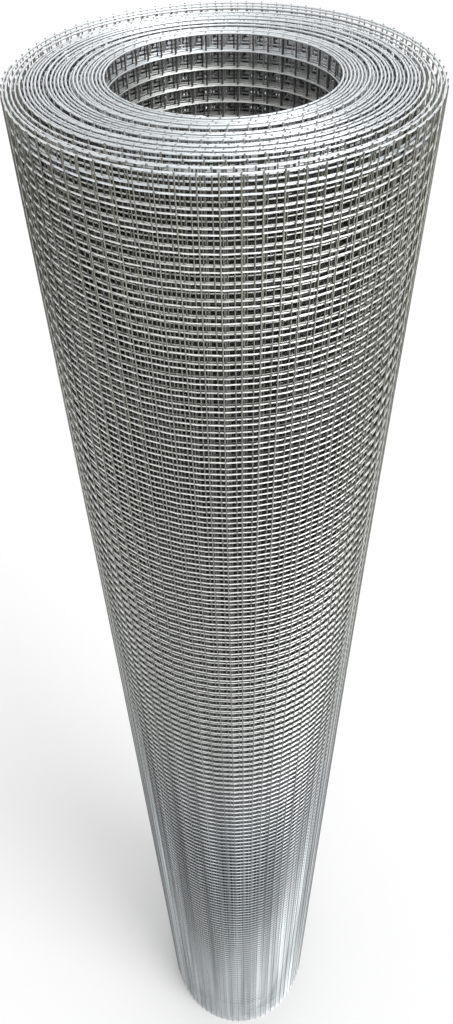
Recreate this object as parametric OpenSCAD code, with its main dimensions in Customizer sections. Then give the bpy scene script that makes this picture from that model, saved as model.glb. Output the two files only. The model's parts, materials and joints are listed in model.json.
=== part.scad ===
// Roll of welded wire mesh standing on its end
// One turned solid with a true bore; every turn shows as a ridge on both ends
// Millimetres, +Z up, base on Z = 0, bore axis on Z

/* [Mesh] */
// Width of the mesh, which is the height of the standing roll
mesh_w = 1000; // [300:10:2000]
// Spacing of the wires in the square mesh, centre to centre
mesh_pitch = 6.35; // [4:0.05:13]
// Diameter of the wire
wire_d = 0.65; // [0.4:0.05:1.2]
// Length of upright wire standing past the edge wire at each end
edge_stub = 1.5; // [0.6:0.1:3]

/* [Winding] */
// Diameter of the bore left inside the first turn
bore_d = 85; // [40:1:200]
// Turns wound hard against one another, from the bore outwards
tight_turns = 21; // [4:1:40]
// Clear space between one tight turn and the next
tight_gap = 0.05; // [0:0.01:0.5]
// Outer turns that have sprung loose
loose_turns = 5; // [1:1:10]
// Clear space inside each loose turn
loose_gap = 1.14; // [0.2:0.02:3]

/* [Hidden] */
// Facets of a full turn in the preview
turn_facets = 180;
zinc_color = [0.68, 0.7, 0.7];

// The mesh is two crossing wires thick, the ring wire on the inside
mesh_t = 2 * wire_d;
tight_step = mesh_t + tight_gap;
loose_step = mesh_t + loose_gap;

bore_r = bore_d / 2;
tight_r = bore_r + tight_turns * tight_step - tight_gap;
outer_r = tight_r + loose_turns * loose_step;

// Between two turns the end is open down to the second row of ring wires
groove_h = edge_stub + mesh_pitch - wire_d / 2;

// Inner radius of every turn, from the bore outwards
tight_starts = [for (i = [0 : tight_turns - 1]) bore_r + i * tight_step];
loose_starts = [for (i = [0 : loose_turns - 1]) tight_r + loose_gap + i * loose_step];
turn_starts = concat(tight_starts, loose_starts);
last_turn = len(turn_starts) - 1;

// Where the groove outside turn i stops
function groove_end(i) = i < last_turn ? turn_starts[i + 1] : outer_r;

// Ridge of the edge wire of turn i and the floor of the groove outside it
function turn_edge(i, ridge_z, floor_z) = [
    [turn_starts[i], ridge_z],
    [turn_starts[i] + wire_d, ridge_z],
    [turn_starts[i] + wire_d, floor_z],
    [groove_end(i), floor_z]
];

function end_edge(ridge_z, floor_z) = [
    for (i = [0 : last_turn]) each turn_edge(i, ridge_z, floor_z)
];

function backwards(points) = [
    for (i = [len(points) - 1 : -1 : 0]) points[i]
];

// Half section of the roll, from the bore to the outermost turn
module roll_section() {
    top_edge = end_edge(mesh_w, mesh_w - groove_h);
    base_edge = end_edge(0, groove_h);
    polygon(concat(top_edge, backwards(base_edge)));
}

module mesh_roll() {
    color(zinc_color)
    rotate_extrude($fn = turn_facets)
    roll_section();
}

mesh_roll();
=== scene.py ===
"""Roll of welded wire mesh: every wire of the roll, its zinc finish, the studio stage and the camera."""
import json
import math
from typing import NamedTuple

import bmesh
import bpy
import numpy as np
from bpy.props import FloatProperty, FloatVectorProperty, IntProperty, PointerProperty
from bpy.types import Operator, Panel, PropertyGroup
from mathutils import Matrix, Vector


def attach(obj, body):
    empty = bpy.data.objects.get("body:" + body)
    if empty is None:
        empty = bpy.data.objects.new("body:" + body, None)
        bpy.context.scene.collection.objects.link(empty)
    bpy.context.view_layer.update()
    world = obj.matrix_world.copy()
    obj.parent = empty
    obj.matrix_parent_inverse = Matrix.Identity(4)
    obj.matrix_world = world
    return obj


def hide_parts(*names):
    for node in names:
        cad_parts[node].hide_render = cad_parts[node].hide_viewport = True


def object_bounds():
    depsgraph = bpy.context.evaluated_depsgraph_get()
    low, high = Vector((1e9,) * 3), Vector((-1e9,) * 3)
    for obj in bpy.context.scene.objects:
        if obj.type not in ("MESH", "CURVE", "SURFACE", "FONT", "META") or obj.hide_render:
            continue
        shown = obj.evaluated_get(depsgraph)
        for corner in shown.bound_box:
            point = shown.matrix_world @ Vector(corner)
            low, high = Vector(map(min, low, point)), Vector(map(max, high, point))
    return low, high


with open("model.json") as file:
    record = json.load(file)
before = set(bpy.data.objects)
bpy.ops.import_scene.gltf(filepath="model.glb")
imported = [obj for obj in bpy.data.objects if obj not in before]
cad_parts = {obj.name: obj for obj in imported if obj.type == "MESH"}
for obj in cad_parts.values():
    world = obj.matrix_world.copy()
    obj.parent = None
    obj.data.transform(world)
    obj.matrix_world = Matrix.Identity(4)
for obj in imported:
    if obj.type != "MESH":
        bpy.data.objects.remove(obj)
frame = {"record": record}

bl_info = {
    "name": "Wire Mesh Roll",
    "version": (1, 0, 0),
    "blender": (4, 5, 0),
    "location": "3D View > Sidebar > Mesh Roll",
    "description": "Makes the wires, finish and stage of a standing roll of welded wire mesh",
    "category": "Object",
}

CAD_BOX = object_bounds()
CAD_NODE = "mesh_roll"
BODY = "root"
BORE = next(mount for mount in frame["record"]["mounts"] if mount["name"] == "bore")
FULL_TURN = 2 * math.pi
MM = 0.001

# Points along the spiral that its length is measured with
PATH_POINTS = 20000
# Seed of the slips of the upright wires along the mesh
STRAY_SEED = 7
# How fast the loose turns open; above 1 they are fully open before the mesh ends
OPENING_RATE = 1.06
# Waves of the loose turns: how many to a turn, and their shift in radians from the foot to the top
WANDER_WAVES = ((1.37, 2.2), (2.21, -3.1))
# Share of the loose turns past which their waves fade no further
WANDER_FADE = 0.9
# Part of a turn over which the free end rises
END_STRETCH = 0.08
# Waves of the turns' height: how many to a turn, and their start in radians
DRIFT_WAVES = ((0.413, 0.0), (0.276, 1.0))

# Climb of an unwound ring wire at every step, in wire diameters
HELIX_RISE = 4
UPRIGHT_SIDES = 6
# Share of an upright wire's diameter that is sunk into the ring wires
WELD_SINK = 0.1
# Straight lengths that the upright wires of the tight and of the loose turns are made of
TIGHT_LENGTHS = 1
LOOSE_LENGTHS = 8

# Dull patches of the zinc: their fineness, and where the noise turns from dull to bright
PATCH_SCALE = 350.0
PATCH_DETAIL = 4.0
DULL_UNTIL = 0.32
BRIGHT_FROM = 0.6
# How far the roughness of bright and dull patches lies from the mean
ROUGHNESS_SPREAD = 0.1
GRAIN_SCALE = 2500.0
GRAIN_STRENGTH = 0.25
GRAIN_DEPTH = 0.03 * MM
# Upright streaks of painted reflection: their fineness along each axis, and where the noise turns from dark
# to light
STREAK_SCALE = (130.0, 130.0, 1.5)
STREAK_DETAIL = 3.0
DARK_UNTIL = 0.35
LIGHT_FROM = 0.65
# Height over which the painted light at a cut wire end fades out
CUT_FADE = 0.02 * MM
# Shares of the height between which the painted light and shade of the zinc change below the upper end, and
# again towards the foot
MIDDLE_SPAN = (0.95, 0.88)
FOOT_SPAN = (0.75, 0.5)

FLOOR_RADIUS = 60.0
FLOOR_SIDES = 64
FLOOR_ROUGHNESS = 0.9
FLOOR_GLOSS = 0.1
# Height in the sky, as a share of straight up, from which on the light is that of the zenith
ZENITH_FROM = 0.5
SENSOR_MM = 36.0
# Distance from the camera at which the view starts
NEAREST = 0.01

# Image the camera is set up for, in pixels
IMAGE_W = 453
IMAGE_H = 1024


class RingZone(NamedTuple):
    """Turns of the roll whose ring wires are drawn with the same detail."""
    name: str
    first_turn: float
    last_turn: float
    steps_per_turn: int
    sides: int
    wire: float


class RollSizes(PropertyGroup):
    """Sizes of the mesh and of the way it is wound."""
    height: FloatProperty(
        name="Height", description="Width of the mesh, which stands upright in the roll",
        default=CAD_BOX[1].z - CAD_BOX[0].z, unit="LENGTH", precision=5)
    stub: FloatProperty(
        name="Wire End", description="Length of upright wire past the middle of each edge wire",
        default=0.45 * MM, unit="LENGTH", precision=5)
    wire: FloatProperty(
        name="Wire Diameter", description="Diameter of the ring wires",
        default=0.70 * MM, unit="LENGTH", precision=5)
    edge_wire: FloatProperty(
        name="Edge Diameter", description="Diameter of the ring wires of the edge rows",
        default=0.76 * MM, unit="LENGTH", precision=5)
    upright: FloatProperty(
        name="Upright Diameter", description="Diameter of the upright wires",
        default=0.58 * MM, unit="LENGTH", precision=5)
    rows: IntProperty(
        name="Rows", description="Ring wires from the lower edge to the upper one", default=158)
    bore: FloatProperty(
        name="Bore Radius", description="Radius of the space inside the first turn",
        default=BORE["dims"]["r_mm"] * MM, unit="LENGTH", precision=5)
    calm_turns: FloatProperty(
        name="Calm Turns", description="First turns, over which stray and drift grow from nothing",
        default=6.0)
    tight_turns: FloatProperty(
        name="Tight Turns", description="Turns wound hard against one another", default=21.25)
    tight_step: FloatProperty(
        name="Tight Step", description="Growth of the radius in one tight turn",
        default=1.35 * MM, unit="LENGTH", precision=5)
    loose_turns: FloatProperty(
        name="Loose Turns", description="Outer turns that have sprung open", default=5.0)
    side_radius: FloatProperty(
        name="Side Radius", description="Reach of the outermost turn to the left and right",
        default=78.4 * MM, unit="LENGTH", precision=5)
    front_radius: FloatProperty(
        name="Front Radius", description="Reach of the outermost turn to the front and back",
        default=83.0 * MM, unit="LENGTH", precision=5)
    side_flare: FloatProperty(
        name="Side Flare", description="How far the sides spread towards the upper end",
        default=2.0 * MM, unit="LENGTH", precision=5)
    front_flare: FloatProperty(
        name="Front Flare", description="How far the front and back spread towards both ends",
        default=4.0 * MM, unit="LENGTH", precision=5)
    lean: FloatProperty(
        name="Lean", description="How far the upper end of the sides lies over to the right",
        default=0.8 * MM, unit="LENGTH", precision=5)
    end_angle: FloatProperty(
        name="End Angle", description="Direction in which the free end of the mesh lies",
        default=math.radians(172.0), subtype="ANGLE")
    end_lift: FloatProperty(
        name="End Lift", description="How far the free end stands off the turn below it",
        default=0.6 * MM, unit="LENGTH", precision=5)
    unevenness: FloatProperty(
        name="Unevenness", description="Share of the free gap that the loose turns wander by",
        default=0.3, subtype="FACTOR")
    stray: FloatProperty(
        name="Stray", description="How far the tight upright wires stray along the mesh",
        default=0.9 * MM, unit="LENGTH", precision=5)
    drift: FloatProperty(
        name="Drift", description="How far the turns stand above or below one another at the ends",
        default=0.6 * MM, unit="LENGTH", precision=5)


class RollFinish(PropertyGroup):
    """Colours, streaks and roughness of the zinc coat; most of the colours are painted light and shade by
    zone and height, and the streaks are painted reflections.
    """
    ring_zinc: FloatVectorProperty(
        name="Ring Wires", description="Bright zinc on the ring wires", subtype="COLOR",
        default=(0.94, 0.95, 0.93))
    # Painted sky light: a bluish tint on the bright zinc of the edge rows
    painted_sky_tint_edge_zinc: FloatVectorProperty(
        name="Edge Wires", description="Bright zinc on the edge rows", subtype="COLOR",
        default=(0.90, 0.94, 0.96))
    # Painted light: the inner loose ring wires stay bright near the upper end, where light reaches in
    painted_light_middle_zinc: FloatVectorProperty(
        name="Loose Rings", description="Duller zinc on the ring wires of the inner loose turns",
        subtype="COLOR", default=(0.85, 0.85, 0.82))
    # Painted shade: those ring wires are made nearly black further down, where the turns shade them
    painted_shade_low_zinc: FloatVectorProperty(
        name="Low Loose Rings", description="Dull zinc on those ring wires further down the roll",
        subtype="COLOR", default=(0.05, 0.05, 0.047))
    # Painted light with a bluish sky tint on those ring wires near the foot
    painted_light_foot_zinc: FloatVectorProperty(
        name="Foot Loose Rings", description="Zinc on those ring wires near the foot",
        subtype="COLOR", default=(0.22, 0.235, 0.24))
    # Painted shade with a bluish sky tint on the outer ring wires near the foot
    painted_shade_foot_ring: FloatVectorProperty(
        name="Foot Rings", description="Zinc on the outer ring wires near the foot",
        subtype="COLOR", default=(0.72, 0.76, 0.775))
    # Painted shade: the ring wires under the loose turns are made dark
    painted_shade_inner_zinc: FloatVectorProperty(
        name="Inner Rings", description="Dull zinc on the ring wires under the loose turns",
        subtype="COLOR", default=(0.15, 0.15, 0.14))
    # Painted dark reflection: the upright wires are made darker than the ring wires for what they reflect,
    # with an olive tint for light bounced off the ground
    painted_dark_upright_zinc: FloatVectorProperty(
        name="Upright Wires", description="Dull zinc on the outer upright wires", subtype="COLOR",
        default=(0.20, 0.20, 0.175))
    # Painted light: the loose upright wires are lighter further down the roll
    painted_light_low_upright: FloatVectorProperty(
        name="Low Uprights", description="Brighter zinc on those upright wires further down the roll",
        subtype="COLOR", default=(0.30, 0.30, 0.27))
    # Painted sky light: a bluish tint on the loose upright wires near the foot
    painted_sky_tint_foot_upright: FloatVectorProperty(
        name="Foot Uprights", description="Bluish zinc on those upright wires near the foot",
        subtype="COLOR", default=(0.28, 0.29, 0.295))
    # Painted light: the upright wires seen through the bore wall are made lighter
    painted_light_zinc: FloatVectorProperty(
        name="Inner Uprights", description="Zinc on the upright wires seen through the bore wall",
        subtype="COLOR", default=(0.4, 0.4, 0.4))
    # Painted shade: the upright wires of the bore and deep in the roll are made nearly black
    painted_shade_zinc: FloatVectorProperty(
        name="Dark Uprights", description="Dark zinc on the upright wires of the bore and deep in the roll",
        subtype="COLOR", default=(0.075, 0.075, 0.07))
    # Painted light on the tips of the dark upright wires at both ends, where the painted shade stops
    painted_light_tip_zinc: FloatVectorProperty(
        name="Cut Ends", description="Zinc and steel at the cut ends of the inner upright wires",
        subtype="COLOR", default=(0.3, 0.3, 0.3))
    # Painted reflection: light and dark upright streaks on the outer ring wires near the foot
    painted_reflection_ring_streaks: FloatProperty(
        name="Ring Streaks", description="How far the foot of the outer ring wires darkens and lightens",
        default=0.3, subtype="FACTOR")
    # Painted reflection: light and dark upright streaks on the loose upright wires near the foot
    painted_reflection_upright_streaks: FloatProperty(
        name="Upright Streaks",
        description="How far the foot of the loose upright wires darkens and lightens",
        default=0.4, subtype="FACTOR")
    # Length of the painted light at the upright tips
    painted_light_tip_length: FloatProperty(
        name="Bright End", description="Length of brighter zinc at the cut ends of the upright wires",
        default=0.4 * MM, unit="LENGTH", precision=5)
    dull_share: FloatProperty(
        name="Dull Patches", description="Brightness of the dulled patches of the coat",
        default=0.85, subtype="FACTOR")
    roughness: FloatProperty(
        name="Roughness", description="Mean roughness of the coat", default=0.46, subtype="FACTOR")


class StageLook(PropertyGroup):
    """Floor, lamps and camera."""
    floor_color: FloatVectorProperty(
        name="Floor", description="Colour of the floor", subtype="COLOR", default=(0.8, 0.8, 0.8))
    horizon: FloatProperty(
        name="Horizon", description="Strength of the light from the horizon", default=0.72)
    zenith: FloatProperty(
        name="Zenith", description="Strength of the light from above", default=0.75)
    top_strength: FloatProperty(
        name="Top Lamp", description="Strength of the soft lamp overhead", default=0.9)
    top_spread: FloatProperty(
        name="Top Spread", description="Width of the lamp overhead as seen from the roll",
        default=math.radians(70.0), subtype="ANGLE")
    top_source: FloatVectorProperty(
        name="Top Source", description="Direction in which the lamp overhead stands",
        subtype="DIRECTION", default=(0.35, -0.48, 0.80))
    back_strength: FloatProperty(
        name="Back Lamp", description="Strength of the soft lamp behind the roll", default=0.3)
    back_spread: FloatProperty(
        name="Back Spread", description="Width of the lamp behind as seen from the roll",
        default=math.radians(60.0), subtype="ANGLE")
    back_source: FloatVectorProperty(
        name="Back Source", description="Direction in which the lamp behind stands",
        subtype="DIRECTION", default=(0.15, 0.8, 0.58))
    side_strength: FloatProperty(
        name="Side Lamp", description="Strength of the soft lamp at the right", default=2.5)
    side_spread: FloatProperty(
        name="Side Spread", description="Width of the lamp at the right as seen from the roll",
        default=math.radians(40.0), subtype="ANGLE")
    side_source: FloatVectorProperty(
        name="Side Source", description="Direction in which the lamp at the right stands",
        subtype="DIRECTION", default=(0.74, -0.58, 0.34))
    lens_px: FloatProperty(
        name="Lens", description="Focal length in pixels of the image", default=822.5, subtype="PIXEL")
    centre_px: FloatVectorProperty(
        name="Optical Centre", description="Where the lens axis meets the image, from the upper left",
        size=2, default=(231.2, 545.7))
    camera_pos: FloatVectorProperty(
        name="Camera", description="Place of the camera", subtype="TRANSLATION",
        default=(0.0, -0.3290, 1.1046))
    camera_dip: FloatProperty(
        name="Dip", description="Angle of the lens axis below the horizon",
        default=math.radians(47.58), subtype="ANGLE")
    camera_roll: FloatProperty(
        name="Roll", description="Turn of the camera about the lens axis",
        default=math.radians(-1.05), subtype="ANGLE")


def mean_wave(turn, waves):
    """Mean of sine waves along the winding, each given by its number to a turn and its start."""
    return sum(np.sin(FULL_TURN * per_turn * turn + start) for per_turn, start in waves) / len(waves)


class Winding:
    """Where the mesh lies in the roll, counted in turns from the bore."""

    def __init__(self, sizes):
        self.sizes = sizes
        self.turns = sizes.tight_turns + sizes.loose_turns
        self.mesh_thickness = sizes.wire + sizes.upright
        self.pitch = (sizes.height - 2 * sizes.stub) / (sizes.rows - 1)

    def angle(self, turn):
        """Direction of a point of the winding, which runs clockwise from the bore outwards."""
        return self.sizes.end_angle + FULL_TURN * (self.turns - turn)

    def outline(self, turn, level):
        """Reach of the outermost turn's inner face in that direction and at that share of the height."""
        sizes = self.sizes
        off_middle = 2 * level - 1
        across = np.sign(np.cos(self.angle(turn)))
        side_spread = sizes.side_flare + sizes.lean * across
        side = sizes.side_radius + side_spread * np.maximum(off_middle, 0.0) ** 2
        front = sizes.front_radius + sizes.front_flare * off_middle ** 2
        return side + (front - side) * np.sin(self.angle(turn)) ** 2 - self.mesh_thickness

    def settled(self, turn):
        """Share of its full unevenness that a turn has, which is none at the bore."""
        return np.clip(turn / self.sizes.calm_turns, 0.0, 1.0)

    def radius(self, turn, height):
        """Inner face of the mesh, with the loose turns sprung open by uneven amounts."""
        sizes = self.sizes
        tight = sizes.bore + sizes.tight_step * np.minimum(turn, sizes.tight_turns)
        open_share = np.clip((turn - sizes.tight_turns) / sizes.loose_turns, 0.0, 1.0)
        growth = np.minimum(OPENING_RATE * open_share, 1.0)
        level = height / sizes.height
        slack = self.outline(turn, level) - tight
        wave = mean_wave(turn, [(per_turn, shift * level) for per_turn, shift in WANDER_WAVES])
        fade = np.sin(math.pi * np.minimum(open_share, WANDER_FADE))
        gap = slack / sizes.loose_turns - self.mesh_thickness
        wander = sizes.unevenness * gap * wave * fade
        to_end = np.clip((turn - self.turns) / END_STRETCH + 1.0, 0.0, 1.0)
        return tight + slack * growth + wander + sizes.end_lift * to_end ** 2

    def lift(self, turn):
        """Height of a turn over the lowest one, which stands on the floor."""
        return self.sizes.drift * (1.0 + mean_wave(turn, DRIFT_WAVES) * self.settled(turn))

    def place(self, turn, depth, along, height):
        """Points that lie depth outside the inner face, along the turn and at a height."""
        angle = self.angle(turn)
        reach = self.radius(turn, height) + depth
        x = reach * np.cos(angle) - along * np.sin(angle)
        y = reach * np.sin(angle) + along * np.cos(angle)
        return np.stack(np.broadcast_arrays(x, y, height + self.lift(turn)), axis=-1)

    def upright_turns(self):
        """Turn of every upright wire, one mesh pitch apart; those wound tight have slipped a little."""
        turn = np.linspace(0.0, self.turns, PATH_POINTS)
        path = self.place(turn, self.sizes.wire, 0.0, self.sizes.height / 2)
        walked = np.concatenate([[0.0], np.cumsum(np.linalg.norm(np.diff(path, axis=0), axis=1))])
        stops = np.arange(self.pitch / 2, walked[-1] - self.pitch / 2, self.pitch)
        strays = np.random.default_rng(STRAY_SEED).uniform(-1.0, 1.0, len(stops))
        stop_turns = np.interp(stops, walked, turn)
        slips = strays * self.settled(stop_turns) * (stop_turns < self.sizes.tight_turns)
        return np.interp(stops + self.sizes.stray * slips, walked, turn)


def arrayed_piece(name, wire, count):
    """Object of count copies of a wire, joined into one mesh by an Array modifier."""
    mesh = bpy.data.meshes.new(name)
    wire.to_mesh(mesh)
    wire.free()
    piece = bpy.data.objects.new(name, mesh)
    bpy.context.scene.collection.objects.link(piece)
    copies = piece.modifiers.new("copies", "ARRAY")
    copies.count = count
    copies.use_relative_offset = False
    joined = bpy.data.meshes.new_from_object(piece.evaluated_get(bpy.context.evaluated_depsgraph_get()))
    piece.modifiers.clear()
    piece.data = joined
    bpy.data.meshes.remove(mesh)
    joined.name = name
    joined.shade_smooth()
    return piece


def points_of(piece, count):
    """Points of a piece, one row for each of its copies."""
    flat = np.empty(len(piece.data.vertices) * 3)
    piece.data.vertices.foreach_get("co", flat)
    return flat.reshape(count, -1, 3)


def move_points(piece, points):
    piece.data.vertices.foreach_set("co", points.ravel())
    piece.data.update()


def close_ends(wire, sides):
    """Caps the two open ends of a tube and turns its faces outwards."""
    ends = [edge for edge in wire.edges if edge.is_boundary]
    bmesh.ops.holes_fill(wire, edges=ends, sides=sides)
    bmesh.ops.recalc_face_normals(wire, faces=wire.faces)


def finish_piece(piece, material):
    piece.data.materials.append(material)
    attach(piece, BODY)
    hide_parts(CAD_NODE)


def ring_wire(sizes, zone, rise):
    """Tube spun as a helix that climbs by rise at every step, to be laid into the winding."""
    wire = bmesh.new()
    stand = Matrix.Translation((sizes.bore, 0.0, 0.0)) @ Matrix.Rotation(math.pi / 2, 4, "X")
    bmesh.ops.create_circle(wire, segments=zone.sides, radius=zone.wire / 2, matrix=stand)
    turns = zone.last_turn - zone.first_turn
    steps = max(1, round(turns * zone.steps_per_turn))
    bmesh.ops.spin(
        wire, geom=wire.verts[:] + wire.edges[:], cent=(0.0, 0.0, 0.0), axis=(0.0, 0.0, 1.0),
        dvec=(0.0, 0.0, rise), angle=-FULL_TURN * turns, steps=steps, use_merge=False)
    close_ends(wire, zone.sides)
    return wire, steps


def make_ring_wires(sizes, zone, heights, material):
    """Ring wires of one zone at the given heights, wound into the roll."""
    winding = Winding(sizes)
    rise = HELIX_RISE * sizes.wire
    wire, steps = ring_wire(sizes, zone, rise)
    piece = arrayed_piece(zone.name, wire, len(heights))
    points = points_of(piece, len(heights))
    step = np.round(points[..., 2] / rise)
    turn = zone.first_turn + (zone.last_turn - zone.first_turn) * step / steps
    depth = np.hypot(points[..., 0], points[..., 1]) - sizes.bore + sizes.wire / 2
    height = points[..., 2] - step * rise + np.asarray(heights)[:, None]
    move_points(piece, winding.place(turn, depth, 0.0, height))
    finish_piece(piece, material)


def upright_wire(sizes, lengths):
    """Straight tube from the lower end of the roll to the upper one, in equal lengths."""
    wire = bmesh.new()
    bmesh.ops.create_circle(wire, segments=UPRIGHT_SIDES, radius=sizes.upright / 2)
    edges = wire.edges[:]
    for _ in range(lengths):
        grown = bmesh.ops.extrude_edge_only(wire, edges=edges)["geom"]
        tips = [item for item in grown if isinstance(item, bmesh.types.BMVert)]
        bmesh.ops.translate(wire, verts=tips, vec=(0.0, 0.0, sizes.height / lengths))
        edges = [item for item in grown if isinstance(item, bmesh.types.BMEdge) and item.is_boundary]
        edges = [edge for edge in edges if all(vert in tips for vert in edge.verts)]
    close_ends(wire, UPRIGHT_SIDES)
    return wire


def make_upright_wires(name, sizes, turns, lengths, material):
    """Upright wires of the given turns, on the outside of the ring wires."""
    winding = Winding(sizes)
    piece = arrayed_piece(name, upright_wire(sizes, lengths), len(turns))
    points = points_of(piece, len(turns))
    turn = np.asarray(turns)[:, None]
    depth = points[..., 0] + sizes.wire + (0.5 - WELD_SINK) * sizes.upright
    move_points(piece, winding.place(turn, depth, points[..., 1], points[..., 2]))
    finish_piece(piece, material)


def link(tree, source, output, target, socket):
    tree.links.new(source.outputs[output], target.inputs[socket])


def two_color_ramp(tree, dark, dark_until, light, light_from):
    """Ramp that is dark up to one value and light from another one on."""
    ramp = tree.nodes.new("ShaderNodeValToRGB")
    first, last = ramp.color_ramp.elements
    first.position = dark_until
    first.color = (*dark, 1.0)
    last.position = light_from
    last.color = (*light, 1.0)
    return ramp


def scaled(parts, share):
    return [share * part for part in parts]


def zinc_material(name, color, finish):
    """Galvanised wire: a metal coat with dull and bright patches and a faintly grainy skin."""
    material = bpy.data.materials.new(name)
    material.use_nodes = True
    tree = material.node_tree
    shader = tree.nodes["Principled BSDF"]
    shader.inputs["Metallic"].default_value = 1.0
    place = tree.nodes.new("ShaderNodeTexCoord")
    patches = tree.nodes.new("ShaderNodeTexNoise")
    patches.inputs["Scale"].default_value = PATCH_SCALE
    patches.inputs["Detail"].default_value = PATCH_DETAIL
    tint = two_color_ramp(tree, scaled(color, finish.dull_share), DULL_UNTIL, color, BRIGHT_FROM)
    rough = tree.nodes.new("ShaderNodeMapRange")
    rough.inputs["To Min"].default_value = finish.roughness + ROUGHNESS_SPREAD
    rough.inputs["To Max"].default_value = finish.roughness - ROUGHNESS_SPREAD
    grain = tree.nodes.new("ShaderNodeTexNoise")
    grain.inputs["Scale"].default_value = GRAIN_SCALE
    bump = tree.nodes.new("ShaderNodeBump")
    bump.inputs["Strength"].default_value = GRAIN_STRENGTH
    bump.inputs["Distance"].default_value = GRAIN_DEPTH
    link(tree, place, "Object", patches, "Vector")
    link(tree, place, "Object", grain, "Vector")
    link(tree, patches, "Fac", tint, "Fac")
    link(tree, tint, "Color", shader, "Base Color")
    link(tree, patches, "Fac", rough, "Value")
    link(tree, rough, "Result", shader, "Roughness")
    link(tree, grain, "Fac", bump, "Height")
    link(tree, bump, "Normal", shader, "Normal")
    return material


def painted_reflection_streaked_color(tree, color, streaks):
    """Socket of a colour that is darker and lighter in upright streaks around the roll, painted reflections
    of the surroundings.
    """
    place = tree.nodes.new("ShaderNodeTexCoord")
    stretch = tree.nodes.new("ShaderNodeMapping")
    stretch.inputs["Scale"].default_value = STREAK_SCALE
    noise = tree.nodes.new("ShaderNodeTexNoise")
    noise.inputs["Scale"].default_value = 1.0
    noise.inputs["Detail"].default_value = STREAK_DETAIL
    dark = scaled(color, 1.0 - streaks)
    light = scaled(color, 1.0 + streaks)
    ramp = two_color_ramp(tree, dark, DARK_UNTIL, light, LIGHT_FROM)
    link(tree, place, "Object", stretch, "Vector")
    link(tree, stretch, "Vector", noise, "Vector")
    link(tree, noise, "Fac", ramp, "Fac")
    return ramp.outputs["Color"]


def paint_light_by_height(material, color, start, end, streaks=0.0):
    """Paints light or shade: lets another colour take over from one height of the roll to another, plain or
    in painted reflection streaks.
    """
    tree = material.node_tree
    shader = tree.nodes["Principled BSDF"]
    skin = shader.inputs["Base Color"].links[0].from_socket
    place = tree.nodes.new("ShaderNodeTexCoord")
    axes = tree.nodes.new("ShaderNodeSeparateXYZ")
    share = tree.nodes.new("ShaderNodeMapRange")
    share.inputs["From Min"].default_value = start
    share.inputs["From Max"].default_value = end
    blend = tree.nodes.new("ShaderNodeMix")
    blend.data_type = "RGBA"
    link(tree, place, "Object", axes, "Vector")
    link(tree, axes, "Z", share, "Value")
    link(tree, share, "Result", blend, 0)
    color_a, color_b = [socket for socket in blend.inputs if socket.type == "RGBA"]
    tree.links.new(skin, color_a)
    color_b.default_value = (*color, 1.0)
    if streaks:
        tree.links.new(painted_reflection_streaked_color(tree, color, streaks), color_b)
    mixed = next(socket for socket in blend.outputs if socket.type == "RGBA")
    tree.links.new(mixed, shader.inputs["Base Color"])


def paint_light_and_shade_down(material, middle_color, foot_color, height, streaks=0.0):
    """Paints light and shade into the zinc: changes it below the upper end of the roll, and once more
    towards its foot.
    """
    middle_start, middle_end = scaled(MIDDLE_SPAN, height)
    foot_start, foot_end = scaled(FOOT_SPAN, height)
    paint_light_by_height(material, middle_color, middle_start, middle_end)
    paint_light_by_height(material, foot_color, foot_start, foot_end, streaks)


def row_heights(sizes):
    """Heights of the ring wires, with equal ends of upright wire past the first and last."""
    return np.linspace(sizes.stub, sizes.height - sizes.stub, sizes.rows)


class MESHROLL_OT_ring_wires(Operator):
    """Make the ring wires of the roll, finest where they are seen best"""
    bl_idname = "meshroll.ring_wires"
    bl_label = "Ring Wires"

    def execute(self, context):
        sizes = context.scene.roll_sizes
        finish = context.scene.roll_finish
        # Own bright zinc on the ring wires, with painted shade, a bluish sky tint and painted reflection
        # streaks near the foot
        bright = zinc_material("ring_zinc", finish.ring_zinc, finish)
        paint_light_and_shade_down(bright, finish.ring_zinc, finish.painted_shade_foot_ring, sizes.height, finish.painted_reflection_ring_streaks)
        # Painted sky light: a bluish tint on the edge rows
        edge = zinc_material("painted_sky_tint_edge_zinc", finish.painted_sky_tint_edge_zinc, finish)
        # Painted light on the inner loose rings near the upper end, painted shade lower down, and painted
        # light with a bluish tint near the foot
        middle = zinc_material("painted_light_middle_zinc", finish.painted_light_middle_zinc, finish)
        paint_light_and_shade_down(middle, finish.painted_shade_low_zinc, finish.painted_light_foot_zinc, sizes.height)
        # Painted shade on the ring wires under the loose turns, darker still lower down
        painted_shade_rings = zinc_material("painted_shade_inner_zinc", finish.painted_shade_inner_zinc, finish)
        paint_light_and_shade_down(painted_shade_rings, finish.painted_shade_low_zinc, finish.painted_shade_low_zinc, sizes.height)
        heights = row_heights(sizes)
        edge_rows = 2
        first_inner = 3.0
        first_core = 8.0
        first_dull = sizes.tight_turns - 6.0
        first_loose = sizes.tight_turns + 1.0
        last = sizes.tight_turns + sizes.loose_turns
        first_outer = last - 2.0
        # Name, first and last turn, steps per turn, sides of the wire and its diameter
        zones = (
            (RingZone("ring_wires_bore", 0.0, first_inner, 36, 4, sizes.wire), bright),
            (RingZone("ring_wires_inner", first_inner, first_core, 24, 3, sizes.wire), bright),
            (RingZone("ring_wires_core", first_core, first_dull, 18, 3, sizes.wire), bright),
            (RingZone("ring_wires_tight", first_dull, first_loose, 24, 3, sizes.wire), painted_shade_rings),
            (RingZone("ring_wires_loose", first_loose, first_outer, 48, 4, sizes.wire), middle),
            (RingZone("ring_wires_outer", first_outer, last, 48, 6, sizes.wire), bright),
        )
        for zone, material in zones:
            make_ring_wires(sizes, zone, heights[edge_rows:-edge_rows], material)
        edges = RingZone("edge_wires", 0.0, last, 72, 6, sizes.edge_wire)
        make_ring_wires(sizes, edges, np.concatenate([heights[:edge_rows], heights[-edge_rows:]]), edge)
        return {"FINISHED"}


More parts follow.
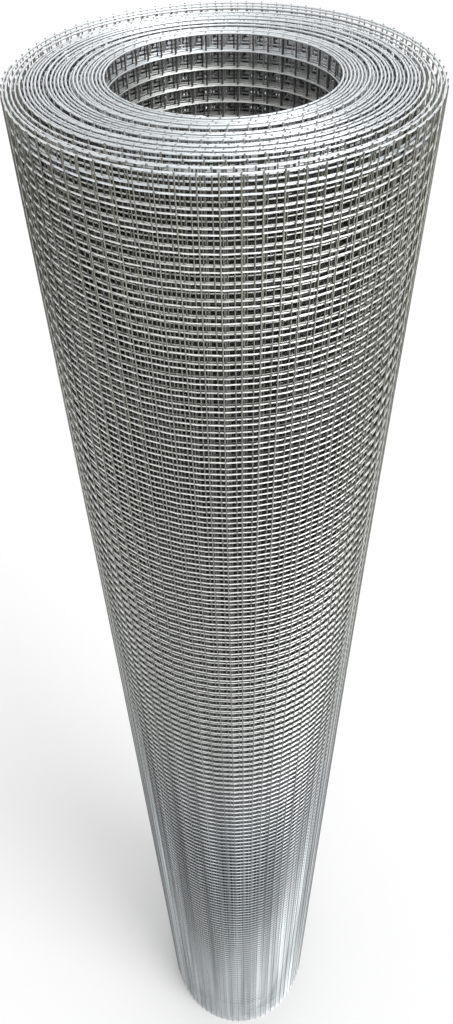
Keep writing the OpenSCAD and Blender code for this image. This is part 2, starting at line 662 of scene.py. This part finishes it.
class MESHROLL_OT_upright_wires(Operator):
    """Make the upright wires of the roll, whose cut ends stand past both edges"""
    bl_idname = "meshroll.upright_wires"
    bl_label = "Upright Wires"

    def execute(self, context):
        sizes = context.scene.roll_sizes
        finish = context.scene.roll_finish
        # Loose upright wires with painted dark reflection, painted light lower down and painted reflection
        # streaks near the foot
        skin = zinc_material("painted_dark_upright_zinc", finish.painted_dark_upright_zinc, finish)
        paint_light_and_shade_down(skin, finish.painted_light_low_upright, finish.painted_sky_tint_foot_upright, sizes.height, finish.painted_reflection_upright_streaks)
        # Painted light on the upright wires seen through the bore wall
        painted_light_skin = zinc_material("painted_light_zinc", finish.painted_light_zinc, finish)
        # Painted shade on the upright wires of the bore and deep in the roll, with painted light at their
        # tips
        painted_shade_skin = zinc_material("painted_shade_zinc", finish.painted_shade_zinc, finish)
        # Painted light on the upright tips at both ends of the roll
        upper_cut = sizes.height - finish.painted_light_tip_length
        paint_light_by_height(painted_shade_skin, finish.painted_light_tip_zinc, upper_cut, upper_cut + CUT_FADE)
        paint_light_by_height(painted_shade_skin, finish.painted_light_tip_zinc, finish.painted_light_tip_length, finish.painted_light_tip_length - CUT_FADE)
        turns = Winding(sizes).upright_turns()
        first_inner = 2.5
        first_core = 9.0
        bore = turns < first_inner
        inner = (turns >= first_inner) & (turns < first_core)
        core = (turns >= first_core) & (turns < sizes.tight_turns)
        loose = turns >= sizes.tight_turns
        make_upright_wires("upright_wires_bore", sizes, turns[bore], TIGHT_LENGTHS, painted_shade_skin)
        make_upright_wires("upright_wires_inner", sizes, turns[inner], TIGHT_LENGTHS, painted_light_skin)
        make_upright_wires("upright_wires_core", sizes, turns[core], TIGHT_LENGTHS, painted_shade_skin)
        make_upright_wires("upright_wires_loose", sizes, turns[loose], LOOSE_LENGTHS, skin)
        return {"FINISHED"}


def soft_lamp(name, strength, spread, source):
    """Wide lamp so far off that it lights the floor evenly; source points towards it."""
    lamp = bpy.data.lights.new(name, "SUN")
    lamp.energy = strength
    lamp.angle = spread
    holder = bpy.data.objects.new(name, lamp)
    holder.rotation_euler = Vector(source).to_track_quat("Z", "Y").to_euler()
    bpy.context.scene.collection.objects.link(holder)


def floor_material(color):
    material = bpy.data.materials.new("pale_floor")
    material.use_nodes = True
    matt = material.node_tree.nodes["Principled BSDF"]
    matt.inputs["Base Color"].default_value = (*color, 1.0)
    matt.inputs["Roughness"].default_value = FLOOR_ROUGHNESS
    matt.inputs["Specular IOR Level"].default_value = FLOOR_GLOSS
    return material


def studio_world(horizon, zenith):
    """White light from all round, whose strength goes from that of the horizon to that of the zenith."""
    world = bpy.data.worlds.new("studio")
    world.use_nodes = True
    tree = world.node_tree
    place = tree.nodes.new("ShaderNodeTexCoord")
    axes = tree.nodes.new("ShaderNodeSeparateXYZ")
    level = tree.nodes.new("ShaderNodeMapRange")
    level.inputs["From Max"].default_value = ZENITH_FROM
    level.inputs["To Min"].default_value = horizon
    level.inputs["To Max"].default_value = zenith
    link(tree, place, "Generated", axes, "Vector")
    link(tree, axes, "Z", level, "Value")
    link(tree, level, "Result", tree.nodes["Background"], "Strength")
    tree.nodes["Background"].inputs["Color"].default_value = (1.0, 1.0, 1.0, 1.0)
    return world


class MESHROLL_OT_stage(Operator):
    """Make the floor, the soft lamps and the camera"""
    bl_idname = "meshroll.stage"
    bl_label = "Stage"

    def execute(self, context):
        scene = context.scene
        look = scene.roll_stage
        shape = bmesh.new()
        bmesh.ops.create_circle(shape, cap_ends=True, segments=FLOOR_SIDES, radius=FLOOR_RADIUS)
        mesh = bpy.data.meshes.new("floor")
        shape.to_mesh(mesh)
        shape.free()
        floor = bpy.data.objects.new("floor", mesh)
        scene.collection.objects.link(floor)
        mesh.materials.append(floor_material(look.floor_color))

        scene.world = studio_world(look.horizon, look.zenith)

        soft_lamp("top_lamp", look.top_strength, look.top_spread, look.top_source)
        soft_lamp("back_lamp", look.back_strength, look.back_spread, look.back_source)
        soft_lamp("side_lamp", look.side_strength, look.side_spread, look.side_source)

        lens = bpy.data.cameras.new("camera")
        lens.sensor_width = SENSOR_MM
        lens.lens = lens.sensor_width * look.lens_px / IMAGE_H
        lens.shift_x = (IMAGE_W / 2 - look.centre_px[0]) / IMAGE_H
        lens.shift_y = (look.centre_px[1] - IMAGE_H / 2) / IMAGE_H
        lens.clip_start = NEAREST
        camera = bpy.data.objects.new("camera", lens)
        tilt = Matrix.Rotation(math.pi / 2 - look.camera_dip, 4, "X")
        camera.matrix_world = (
            Matrix.Translation(look.camera_pos) @ tilt @ Matrix.Rotation(look.camera_roll, 4, "Z"))
        scene.collection.objects.link(camera)
        scene.camera = camera
        scene.view_settings.view_transform = "Standard"
        return {"FINISHED"}


class MESHROLL_PT_panel(Panel):
    """Lists the steps that make the roll"""
    bl_idname = "MESHROLL_PT_panel"
    bl_label = "Mesh Roll"
    bl_space_type = "VIEW_3D"
    bl_region_type = "UI"
    bl_category = "Mesh Roll"

    def draw(self, context):
        for operator in OPERATORS:
            self.layout.operator(operator.bl_idname)
        for group in (context.scene.roll_sizes, context.scene.roll_finish, context.scene.roll_stage):
            box = self.layout.box()
            for name in group.__annotations__:
                box.prop(group, name)


OPERATORS = (MESHROLL_OT_upright_wires, MESHROLL_OT_ring_wires, MESHROLL_OT_stage)
CLASSES = (RollSizes, RollFinish, StageLook, *OPERATORS, MESHROLL_PT_panel)


def register():
    for item in CLASSES:
        bpy.utils.register_class(item)
    bpy.types.Scene.roll_sizes = PointerProperty(type=RollSizes)
    bpy.types.Scene.roll_finish = PointerProperty(type=RollFinish)
    bpy.types.Scene.roll_stage = PointerProperty(type=StageLook)


def unregister():
    del bpy.types.Scene.roll_sizes
    del bpy.types.Scene.roll_finish
    del bpy.types.Scene.roll_stage
    for item in reversed(CLASSES):
        bpy.utils.unregister_class(item)


def main():
    register()
    bpy.ops.meshroll.upright_wires()
    bpy.ops.meshroll.ring_wires()
    bpy.ops.meshroll.stage()


if __name__ == "__main__":
    main()
